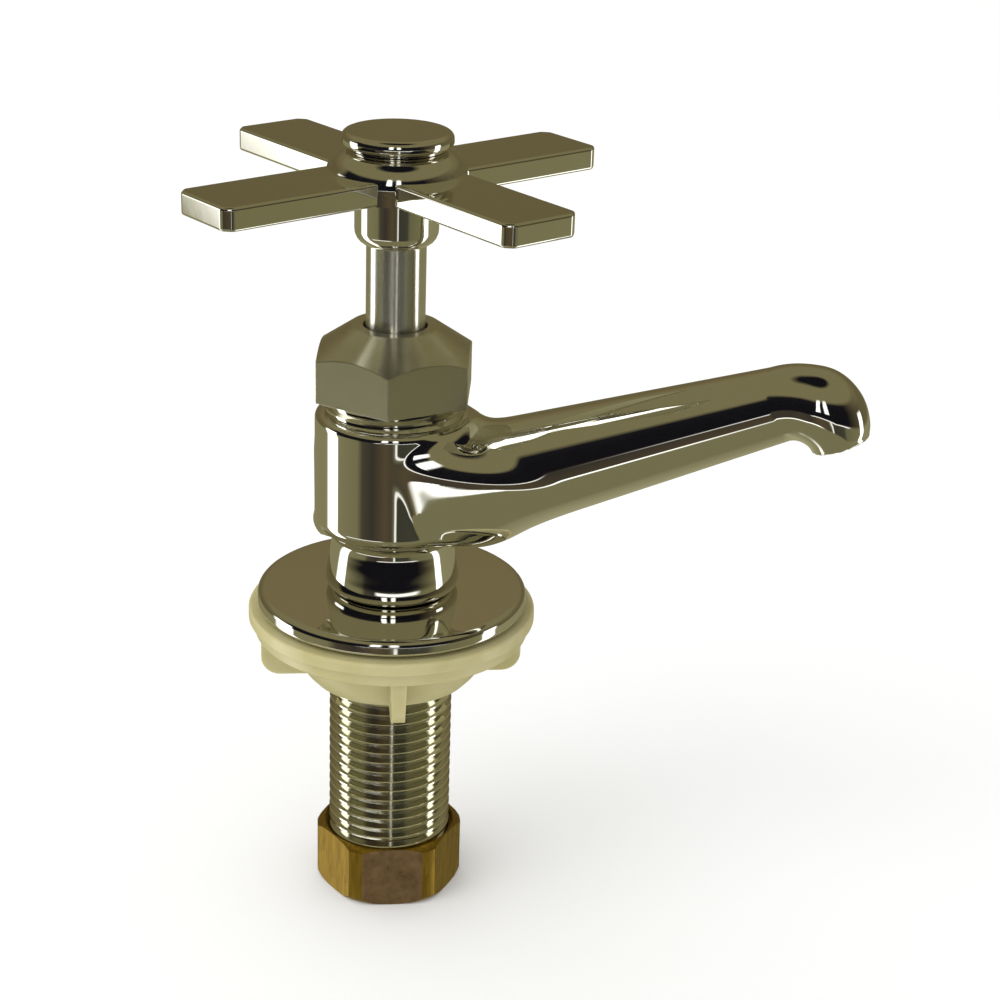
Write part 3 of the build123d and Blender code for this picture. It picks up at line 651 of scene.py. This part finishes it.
# shank socket, waterway, seat thread and chamber, from the bottom up
castingHollow = [
    (8.66, 2.0, 0), (8.66, 11.45, 0), (6.6, 11.45, 0), (6.6, 13.35, 0), (7.26, 13.35, 0), (7.26, 17.4, 0),
    (8.6, 17.4, 0), (8.6, 42.0, 0)]
inside = turnPiece("inside", castingHollow, 128, "solid")
carve(casting, inside, "DIFFERENCE")
facesOut(casting, 0.001)
smoothPiece(casting, 35, weighted=False)

# the polished skin takes its shading straight from the blended shape
data = casting.data
places = readPlaces(casting)
skin = np.abs(bodySurface(places)) < 0.01
slopes = surfaceNormals(places)
slopes /= np.maximum(np.linalg.norm(slopes, axis=1), 1e-6)[:, None]
corners = np.empty(len(data.loops), dtype=int)
data.loops.foreach_get("vertex_index", corners)
shading = np.empty(len(data.loops) * 3)
data.corner_normals.foreach_get("vector", shading)
shading = shading.reshape(-1, 3)
for face in data.polygons:
    ids = corners[face.loop_start:face.loop_start + face.loop_total]
    if skin[ids].all() and np.dot(slopes[ids[0]], face.normal) > 0.8:
        shading[face.loop_start:face.loop_start + face.loop_total] = slopes[ids]
data.normals_split_custom_set(shading.tolist())
dress(casting, "tap_body", "chromed_casting", castingChrome, "body_casting")
print("casting faces", len(data.polygons))


print("flange and shank")
# underside with the gasket's groove, lifted rim, rolled edge and top: radius, height, rounding
flangeLine = [
    (8.66, 0.0, 0), (13.0, 0.0, 0), (13.0, 1.6, 0), (18.5, 1.6, 0), (18.5, 0.0, 0.15), (21.2, 0.0, 0.2),
    (22.6, 0.8, 0.3), (22.6, 1.3, 0), (22.5, 2.05, 0), (22.46, 3.2, 1.1), (20.2, 3.2, 0), (11.15, 3.3, 0),
    (8.66, 3.3, 0)]
flange = turnPiece("deckFlange", flangeLine, 192)
smoothPiece(flange, 30)
dress(flange, "tap_body", "chromed_flange", flangeChrome, "base_flange")

tail = {
    "radius": 10.43, "depth": 1.0, "pitch": 1.814, "crest": 0.5, "root": 0.35, "soft": 0.09, "bottom": -47.25,
    "top": -0.05, "bore": 6.6, "mouth": 8.8, "countersink": 2.2, "socketRadius": 8.6, "socketTop": 11.15,
}
shank = threadSurface("threadedShank", tail)
core = turnPiece("core", [
    (tail["socketRadius"], tail["top"], 0), (tail["socketRadius"], tail["socketTop"], 0),
    (tail["bore"], tail["socketTop"], 0), (tail["bore"], tail["bottom"] + tail["countersink"], 0),
    (tail["mouth"], tail["bottom"], 0)], 96, "open")
deselectAll()
core.select_set(True)
shank.select_set(True)
bpy.context.view_layer.objects.active = shank
bpy.ops.object.join()
editMode(shank, "EDGE")
for level in (tail["top"], tail["bottom"]):
    pickOpenEnd(shank, level)
    bpy.ops.mesh.bridge_edge_loops()
bpy.ops.object.mode_set(mode="OBJECT")
facesOut(shank)
smoothPiece(shank, 40)
dress(shank, "tap_body", "chromed_thread", threadChrome, "threaded_shank")


print("bonnet nut and spindle")
bonnet = {
    "cornerRadius": 14.0, "cornerAngle": -74.3, "bottom": 37.4, "coneBottom": 43.61, "top": 49.0, "topRadius": 7.2,
    "thread": 11.41, "threadTop": 43.25, "packing": 7.4, "packingTop": 47.0, "stemHole": 5.2, "edge": 0.11,
}
nut = hexPiece("bonnetNut", bonnet["cornerRadius"], bonnet["bottom"], bonnet["top"] + 1, bonnet["cornerAngle"])
cone = turnPiece("cone", [
    (bonnet["cornerRadius"] + 1, bonnet["bottom"] - 1, 0), (bonnet["cornerRadius"] + 1, bonnet["coneBottom"], 0),
    (bonnet["topRadius"], bonnet["top"], 0)], 192, "solid")
carve(nut, cone, "INTERSECT")
hollow = turnPiece("hollow", [
    (bonnet["thread"], bonnet["bottom"] - 1, 0), (bonnet["thread"], bonnet["threadTop"], 0),
    (bonnet["packing"], bonnet["threadTop"], 0), (bonnet["packing"], bonnet["packingTop"], 0),
    (bonnet["stemHole"], bonnet["packingTop"], 0), (bonnet["stemHole"], bonnet["top"] + 1, 0)], 128, "solid")
carve(nut, hollow, "DIFFERENCE")
facesOut(nut)
applyModifier(nut, "BEVEL", width=bonnet["edge"] * mm, segments=2, limit_method="ANGLE",
              angle_limit=radians(20), use_clamp_overlap=True)
smoothPiece(nut, 28)
dress(nut, "tap_body", "satin_chrome", bonnetTurned, "bonnet_nut")

rod = {
    "outline": [
        (2.57, 30.65, 0), (2.57, 23.4, 0), (6.2, 23.4, 0.3), (6.2, 25.4, 0), (7.0, 25.4, 0.3), (7.0, 33.9, 0.4),
        (4.8, 33.9, 0), (4.8, 63.95, 0)],
    "square": 6.8, "squareBottom": 63.0, "squareTop": 72.35, "turn": -33.3, "screwRadius": 2.06, "screwBottom": 65.25,
}
stem = turnPiece("spindleRod", rod["outline"], 128, "solid")
square = barPiece("square", rod["square"] / 2, rod["square"], rod["squareBottom"], rod["squareTop"], rod["turn"],
                  -rod["square"] / 2)
placed(square)
carve(stem, square, "UNION")
tapped = turnPiece("tapped", [
    (rod["screwRadius"], rod["screwBottom"], 0), (rod["screwRadius"], rod["squareTop"] + 0.65, 0)], 48, "solid")
carve(stem, tapped, "DIFFERENCE")
facesOut(stem)
smoothPiece(stem, 30)
dress(stem, "handle_group", "chromed_spindle", stemChrome, "spindle")


print("handle")
handle = {
    "bottom": 62.3, "armBottom": 71.0, "armTop": 74.7, "bossTop": 77.8, "collarRadius": 6.7, "hubRadius": 11.2,
    "bore": 3.0, "collarRounding": 2.6, "armReach": 36.0, "armWidth": 13.7, "turn": -33.3, "cornerCut": 1.3,
    "edge": 0.5, "joint": 0.35, "square": 6.92, "squareTop": 72.65,
}
dome = [(11.2, 73.6), (11.0, 74.9), (10.3, 76.2), (9.1, 77.2), (7.6, 77.8)]
handleHollow = [
    (4.87, 61.0, 0), (4.87, 64.0, 0), (2.07, 64.0, 0), (2.07, 75.05, 0), (6.3, 75.05, 0), (6.3, 79.0, 0)]


def inJoint(co):
    # near where the arms come out of the hub
    return 9.6 < co.xy.length < 11.9 and handle["armBottom"] + 0.3 < co.z < handle["armTop"] + 0.1


cross = turnPiece("crossHandle", [
    (handle["bore"], handle["bottom"], 0), (handle["collarRadius"], handle["bottom"], handle["collarRounding"]),
    (handle["collarRadius"], 71.4, 0), (handle["hubRadius"], 71.05, 0)] + [
    (r, z, 0) for r, z in smoothPoints(dome, 6)] + [(handle["bore"], handle["bossTop"], 0)], 160)
arms = barPiece("arms", handle["armReach"], handle["armWidth"], handle["armBottom"], handle["armTop"],
                handle["turn"], -handle["armReach"])
editMode(arms, "EDGE")
pickEdges(arms, lambda a, b, edge: abs(a.z - b.z) > 1)
bpy.ops.mesh.bevel(offset=handle["cornerCut"] * mm, segments=1, affect="EDGES")
bpy.ops.mesh.select_all(action="SELECT")
bpy.ops.mesh.bevel(offset=handle["edge"] * mm, segments=4, affect="EDGES")
bpy.ops.object.mode_set(mode="OBJECT")
crossing = turnedCopy(arms, 90)
placed(arms)
carve(cross, arms, "UNION")
carve(cross, crossing, "UNION")
facesOut(cross)
editMode(cross, "EDGE")
pickEdges(cross, lambda a, b, edge: inJoint(a) and inJoint(b) and edge.is_manifold
          and edge.calc_face_angle_signed() < radians(-25))
bpy.ops.mesh.bevel(offset=handle["joint"] * mm, segments=3, affect="EDGES", clamp_overlap=True)
bpy.ops.object.mode_set(mode="OBJECT")
square = barPiece("square", handle["square"] / 2, handle["square"], handle["bottom"] - 1, handle["squareTop"],
                  handle["turn"], -handle["square"] / 2)
placed(square)
carve(cross, square, "DIFFERENCE")
hollow = turnPiece("hollow", handleHollow, 96, "solid")
carve(cross, hollow, "DIFFERENCE")
facesOut(cross)
smoothPiece(cross, 30)
dress(cross, "handle_group", "chromed_handle", handleChrome, "cross_handle")

# hollow plug, step and rounded head: radius, height, rounding
buttonLine = [
    (5.24, 79.0, 0), (5.24, 76.25, 0), (6.24, 76.25, 0.1), (6.24, 77.85, 0), (7.8, 77.85, 0.15), (7.8, 78.35, 0),
    (8.85, 78.35, 0.6), (8.85, 80.55, 1.1)]
button = turnPiece("capButton", buttonLine, 160, "solid")
smoothPiece(button, 30)
dress(button, "handle_group", "chromed_cap", capChrome, "cap_button")


print("locknut")
plate = {"bore": 10.73, "radius": 24.0, "bottom": -2.1, "top": -0.1, "lowEdge": 0.12, "topEdge": 0.5}
washer = turnPiece("locknutWasher", [
    (plate["bore"], plate["bottom"], 0), (plate["radius"], plate["bottom"], plate["lowEdge"]),
    (plate["radius"], plate["top"], plate["topEdge"]), (plate["bore"], plate["top"], 0)], 160)
smoothPiece(washer, 35)
dress(washer, "locknut_washer_body", "ivory_nylon", ivoryNylon, "locknut_washer")

lock = {
    "bore": 10.49, "top": -2.15, "disc": -4.65, "bottom": -12.75, "radius": 23.4, "taper": 0.5, "topEdge": 0.08,
    "lowEdge": 0.6, "turn": -66.5, "wingReach": 22.0, "wingFrom": 12.5, "wingWidth": 2.7, "wingTip": 2.2,
    "wingCorner": 3.2, "edge": 0.3,
}
bowl = smoothPoints([(17.3, -4.65), (17.0, -6.6), (16.3, -8.7), (15.1, -10.9), (13.5, -12.75)], 4)
winged = turnPiece("locknut", [
    (lock["bore"], lock["bottom"], 0), (lock["bore"], lock["top"], 0), (lock["radius"], lock["top"], lock["topEdge"]),
    (lock["radius"] - lock["taper"], lock["disc"], lock["lowEdge"])] + [(r, z, 0) for r, z in bowl], 160)
wing = barPiece("wing", lock["wingReach"], lock["wingWidth"], lock["bottom"], lock["disc"] + 1.0, 0, lock["wingFrom"])


def atTip(co):
    # the wing's outer lower corner
    return co.x > lock["wingReach"] - 2 and co.z < lock["bottom"] + 0.75


editMode(wing, "EDGE")
pickEdges(wing, lambda a, b, edge: atTip(a) and atTip(b))
bpy.ops.mesh.bevel(offset=lock["wingCorner"] * mm, segments=8, affect="EDGES")
pickVerts(wing, lambda co: co.z < lock["disc"] - 1)
bpy.ops.transform.resize(value=(1, lock["wingTip"] / lock["wingWidth"], 1), center_override=(0, 0, 0))
bpy.ops.object.mode_set(mode="OBJECT")
for quarter in range(4):
    carve(winged, turnedCopy(wing, lock["turn"] + 90 * quarter), "UNION")
bpy.data.objects.remove(wing)
facesOut(winged)
applyModifier(winged, "BEVEL", width=lock["edge"] * mm, segments=2, limit_method="ANGLE",
              angle_limit=radians(32), use_clamp_overlap=True)
smoothPiece(winged, 35)
dress(winged, "locknut_body", "ivory_nylon", ivoryNylon, "locknut")


print("coupling nut")
coupling = {
    "cornerRadius": 22.9 / 2 / cos(pi / 6), "cornerAngle": -36.6, "bottom": -52.45, "top": -41.55, "edge": 0.1,
    "lowChamfer": [(11.2, 0.0), (11.9, 0.3), (12.5, 1.1)],
    "topChamfer": [(12.5, 0.85), (12.1, 0.42), (11.45, 0.12), (10.74, 0.0)],
    "hollow": [(6.55, -54.0), (6.55, -50.5), (10.49, -50.5), (10.49, -42.5), (11.2, -41.6), (11.2, -40.0)],
}
brassNut = hexPiece("couplingNut", coupling["cornerRadius"], coupling["bottom"], coupling["top"],
                    coupling["cornerAngle"])
turnedOff = turnPiece("turnedOff", [(r, coupling["bottom"] + rise, 0) for r, rise in coupling["lowChamfer"]] + [
    (r, coupling["top"] - drop, 0) for r, drop in coupling["topChamfer"]], 192, "solid")
carve(brassNut, turnedOff, "INTERSECT")
hollow = turnPiece("hollow", [(r, z, 0) for r, z in coupling["hollow"]], 128, "solid")
carve(brassNut, hollow, "DIFFERENCE")
facesOut(brassNut)
applyModifier(brassNut, "BEVEL", width=coupling["edge"] * mm, segments=2, limit_method="ANGLE",
              angle_limit=radians(20), use_clamp_overlap=True)
smoothPiece(brassNut, 28)
dress(brassNut, "coupling_nut_body", "raw_brass", brassBar, "coupling_nut")


print("inner pieces")
innerFinishes = {
    "deck_gasket": blackRubber, "valve_seat": turnedBrass, "seat_washer": blackRubber,
    "washer_carrier": turnedBrass, "washer_screw": turnedBrass, "spindle_bush": turnedBrass,
    "bonnet_gasket": redFibre, "packing_washer": turnedBrass, "packing_ring": packing,
    "handle_screw": zincPlate, "cone_washer": blackRubber, "friction_ring": whiteNylon,
}
for name, material in innerFinishes.items():
    nodes[name].data.materials.clear()
    nodes[name].data.materials.append(material)


print("studio")
deselectAll()
bpy.ops.mesh.primitive_plane_add(size=6, location=(0, 0, coupling["bottom"] * mm))
floor = bpy.context.object
floor.name = "floor"
floorPaint, tree, shader = newMaterial("White studio floor")
shader.inputs["Base Color"].default_value = linear("#fcfcfb")
shader.inputs["Roughness"].default_value = 0.9
shader.inputs["Specular IOR Level"].default_value = 0.0
floor.data.materials.append(floorPaint)
floor.visible_glossy = False    # the tap was lit in a darker room than its white backdrop

world = bpy.data.worlds.new("studio")
bpy.context.scene.world = world
world.use_nodes = True
tree = world.node_tree
background = tree.nodes["Background"]
way = addNode(tree, "ShaderNodeTexCoord").outputs["Generated"]
# turned so that +X points from the tap to the camera, and angles grow to the picture's right
turned = addNode(tree, "ShaderNodeVectorRotate", {"Axis": (0, 0, 1), "Angle": radians(70)}, {"Vector": way},
                 rotation_type="AXIS_ANGLE")
parts = addNode(tree, "ShaderNodeSeparateXYZ", {}, {"Vector": turned.outputs["Vector"]})
bearing = addNode(tree, "ShaderNodeMath", {}, {0: parts.outputs["Y"], 1: parts.outputs["X"]}, operation="ARCTAN2")
share = addNode(tree, "ShaderNodeMapRange", {"From Min": -pi, "From Max": pi, "To Min": 0.0, "To Max": 1.0},
                {"Value": bearing.outputs["Value"]})


def band(degreesRound):
    return 0.5 + degreesRound / 360


# what a level ray meets, what lies overhead and behind, and the table's side of the room
lowBand = addNode(tree, "ShaderNodeValToRGB", {}, {"Fac": share.outputs["Result"]}, [
    (0.0, linear("#87815f")), (band(-118), linear("#8a8562")), (band(-86), linear("#84805e")),
    (band(-54), linear("#7a7655")), (band(-46), linear("#4a4436")), (band(-30), linear("#3b362f")),
    (band(-12), linear("#574b36")), (band(-2), linear("#4a4436")), (band(2), linear("#7a765e")),
    (band(6), linear("#3e3d32")), (band(29), linear("#434236")), (band(36), linear("#6c694e")),
    (band(70), linear("#7a7653")), (band(100), linear("#908b69")), (1.0, linear("#87815f"))])
highBand = addNode(tree, "ShaderNodeValToRGB", {}, {"Fac": share.outputs["Result"]}, [
    (0.0, linear("#6b6143")), (band(-135), linear("#675d40")), (band(-105), linear("#665f42")),
    (band(-94), linear("#141317")), (band(45), linear("#141317")), (band(75), linear("#4f4733")),
    (band(110), linear("#665f42")), (1.0, linear("#6b6143"))])
tableBand = addNode(tree, "ShaderNodeValToRGB", {}, {"Fac": share.outputs["Result"]}, [
    (0.0, linear("#a8a482")), (band(-140), linear("#918c6a")), (band(-60), linear("#7b7757")),
    (band(40), linear("#7b7757")), (band(140), linear("#918c6a")), (1.0, linear("#a8a482"))])
# the wall over the dark part of the room
overBand = addNode(tree, "ShaderNodeMapRange", {"From Min": 0.46, "From Max": 0.56}, {"Value": parts.outputs["Z"]})
upper = addNode(tree, "ShaderNodeMix", {"B": linear("#6f694b")}, {
    "Factor": overBand.outputs["Result"], "A": highBand.outputs["Color"]}, data_type="RGBA")
# the table's edge, lower where the room opens to the picture's left
edge = addNode(tree, "ShaderNodeMapRange", {"From Min": -0.53, "From Max": -0.50}, {"Value": parts.outputs["Z"]})
lower = addNode(tree, "ShaderNodeMix", {}, {
    "Factor": edge.outputs["Result"], "A": tableBand.outputs["Color"], "B": lowBand.outputs["Color"]},
    data_type="RGBA")
height = addNode(tree, "ShaderNodeMapRange", {"From Min": -0.19, "From Max": -0.12}, {"Value": parts.outputs["Z"]})
room = addNode(tree, "ShaderNodeMix", {}, {
    "Factor": height.outputs["Result"], "A": lower.outputs["Result"], "B": upper.outputs["Result"]}, data_type="RGBA")
level = addNode(tree, "ShaderNodeMapRange", {"From Min": -1.0, "From Max": 1.0}, {"Value": parts.outputs["Z"]})
# the wall behind is lighter higher up
steep = addNode(tree, "ShaderNodeMapRange", {"From Min": 0.27, "From Max": 0.42, "To Min": 1.0, "To Max": 1.3},
                {"Value": parts.outputs["Z"]})
wall = addNode(tree, "ShaderNodeMix", {"Factor": 1.0}, {
    "A": room.outputs["Result"], "B": steep.outputs["Result"]}, data_type="RGBA", blend_type="MULTIPLY")
ceiling = addNode(tree, "ShaderNodeMapRange", {"From Min": 0.93, "From Max": 0.97}, {"Value": parts.outputs["Z"]})
under = addNode(tree, "ShaderNodeMix", {"B": linear("#141317")}, {
    "Factor": ceiling.outputs["Result"], "A": wall.outputs["Result"]}, data_type="RGBA")


def rise(z):
    return 0.5 + z / 2


# each light is a patch of the room: where round it, how high, and how bright
lights = [
    ([(band(-113), 0.0), (band(-107), 1.0), (band(-90), 1.0), (band(-88), 0.0)], (-0.95, -0.85, 0.10, 0.20), 2.4),
    ([(band(80), 0.0), (band(82), 1.0), (band(93), 1.0), (band(96), 0.0)], (-0.95, -0.85, 0.10, 0.20), 2.4),
    ([(band(-78), 0.0), (band(-70), 1.0), (band(-20), 1.0), (band(-12), 0.0)], (-0.555, -0.545, -0.515, -0.505), 1.6),
    ([(band(-30), 0.0), (band(-24), 1.0), (band(40), 1.0), (band(50), 0.0)], (-0.20, -0.19, -0.17, -0.16), 1.3),
    ([(band(2), 0.0), (band(3), 1.0), (band(4), 1.0), (band(5), 0.0)], (-0.53, -0.50, -0.22, -0.19), 1.3),
    ([(band(-18), 0.0), (band(-16), 1.0), (band(-10), 1.0), (band(-8), 0.0)], (0.05, 0.08, 0.50, 0.60), 2.2),
    ([(band(-2), 0.0), (band(0), 1.0), (band(5), 1.0), (band(7), 0.0)], (0.05, 0.08, 0.50, 0.60), 1.8),
]
lit = under.outputs["Result"]
for around, heights, strength in lights:
    beside = addNode(tree, "ShaderNodeValToRGB", {}, {"Fac": share.outputs["Result"]},
                     [(position, grey(value)) for position, value in around])
    upright = addNode(tree, "ShaderNodeValToRGB", {}, {"Fac": level.outputs["Result"]},
                      [(rise(z), grey(value)) for z, value in zip(heights, (0.0, 1.0, 1.0, 0.0))])
    both = addNode(tree, "ShaderNodeMath", {}, {0: beside.outputs["Color"], 1: upright.outputs["Color"]},
                   operation="MULTIPLY")
    joined = addNode(tree, "ShaderNodeMix", {"B": (strength, strength, strength * 0.96, 1.0)},
                     {"Factor": both.outputs["Value"], "A": lit}, data_type="RGBA")
    lit = joined.outputs["Result"]
rays = addNode(tree, "ShaderNodeLightPath")
# soft light, stronger from the picture's left
fromLeft = addNode(tree, "ShaderNodeMapRange", {"From Min": -1.0, "From Max": 1.0, "To Min": 1.35, "To Max": 0.65},
                   {"Value": parts.outputs["Y"]})
sky = addNode(tree, "ShaderNodeMix", {}, {
    "Factor": rays.outputs["Is Glossy Ray"], "A": fromLeft.outputs["Result"]}, data_type="RGBA")
tree.links.new(lit, sky.inputs["B"])
tree.links.new(sky.outputs["Result"], background.inputs["Color"])
background.inputs["Strength"].default_value = 1.0

# in metres and watts
lamp = {"place": (-0.55, -0.75, 0.95), "size": 0.7, "energy": 3}
deselectAll()
bpy.ops.object.light_add(type="AREA", location=lamp["place"])
key = bpy.context.object
key.name = "keyLamp"
key.data.size = lamp["size"]
key.data.energy = lamp["energy"]
key.rotation_euler = (Vector((0, 0, 0)) - key.location).to_track_quat("-Z", "Y").to_euler()
key.visible_glossy = False

# camera at the photograph's angle
shot = {"place": (0.11943, -0.32812, 0.16280), "turn": 17.1, "lookDown": 22.40, "roll": 1.857, "lens": 82.11}
bpy.ops.object.camera_add()
camera = bpy.context.object
camera.data.lens = shot["lens"]
camera.data.sensor_width = 36
camera.data.clip_start = 0.01
camera.matrix_world = (
    Matrix.Translation(shot["place"]) @ Matrix.Rotation(radians(shot["turn"]), 4, "Z")
    @ Matrix.Rotation(radians(90 - shot["lookDown"]), 4, "X") @ Matrix.Rotation(radians(shot["roll"]), 4, "Z"))
bpy.context.scene.camera = camera
bpy.context.scene.view_settings.view_transform = "Standard"

bpy.context.view_layer.update()
